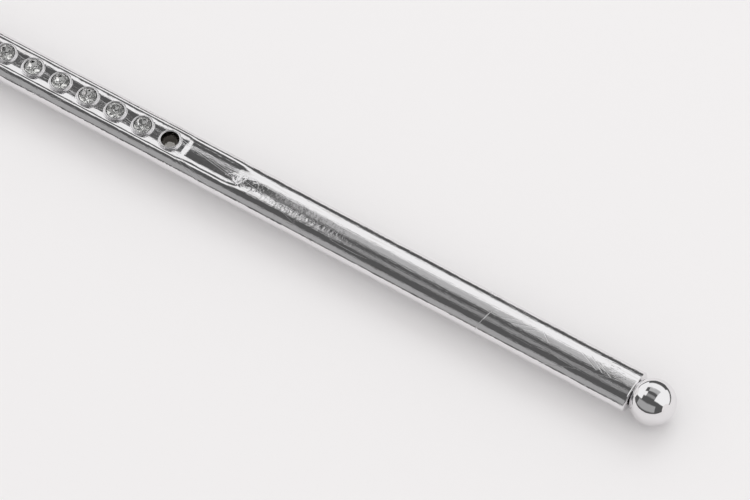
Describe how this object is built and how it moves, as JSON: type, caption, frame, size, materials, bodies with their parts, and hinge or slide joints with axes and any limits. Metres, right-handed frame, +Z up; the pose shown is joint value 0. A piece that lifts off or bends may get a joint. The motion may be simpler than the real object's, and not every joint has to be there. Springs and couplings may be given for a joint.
{
  "type": "magic wand",
  "caption": "Chrome-plated fairy wand: star head, ribbed collar, oval shaft with a row of small clear stones in rimmed cups (the first cup empty), plain handle, ball end. Waved by hand.",
  "frame": {"origin": "Under the middle of the whole wand, on the surface that it lies on.", "axes": "+X runs along the shaft from the star head to the ball, +Z is up, out of the stones' faces, +Y is across."},
  "size_m": [0.2912, 0.069, 0.0143],
  "materials": {
    "shaft_plating": "vacuum-plated plastic, bright, lightly scratched, faint orange peel",
    "ball_plating": "vacuum-plated plastic, mirror bright",
    "collar_plating": "vacuum-plated plastic, mirror bright",
    "star_plating": "vacuum-plated plastic, bright, faint orange peel",
    "crystal": "clear faceted glass, foiled back",
    "large_crystal": "clear faceted glass, foiled back"
  },
  "bodies": {
    "root": {"shaft": "shaft_plating", "ball_finial": "ball_plating", "collar": "collar_plating", "star_front": "star_plating", "star_back": "star_plating", "shaft_stone_02": "crystal", "shaft_stone_03": "crystal", "shaft_stone_04": "crystal", "shaft_stone_05": "crystal", "shaft_stone_06": "crystal", "shaft_stone_07": "crystal", "shaft_stone_08": "crystal", "shaft_stone_09": "crystal", "shaft_stone_10": "crystal", "shaft_stone_11": "crystal", "shaft_stone_12": "crystal", "shaft_stone_13": "crystal", "shaft_stone_14": "crystal", "shaft_stone_15": "crystal", "arm_1_inner_stone": "crystal", "arm_1_middle_stone": "crystal", "arm_1_outer_stone": "crystal", "notch_stone_1": "crystal", "arm_2_inner_stone": "crystal", "arm_2_middle_stone": "crystal", "arm_2_outer_stone": "crystal", "notch_stone_2": "crystal", "arm_3_inner_stone": "crystal", "arm_3_middle_stone": "crystal", "arm_3_outer_stone": "crystal", "notch_stone_3": "crystal", "arm_4_inner_stone": "crystal", "arm_4_middle_stone": "crystal", "arm_4_outer_stone": "crystal", "notch_stone_4": "crystal", "arm_5_inner_stone": "crystal", "arm_5_middle_stone": "crystal", "arm_5_outer_stone": "crystal", "notch_stone_5": "crystal", "centre_stone": "large_crystal"}
  },
  "joints": []
}
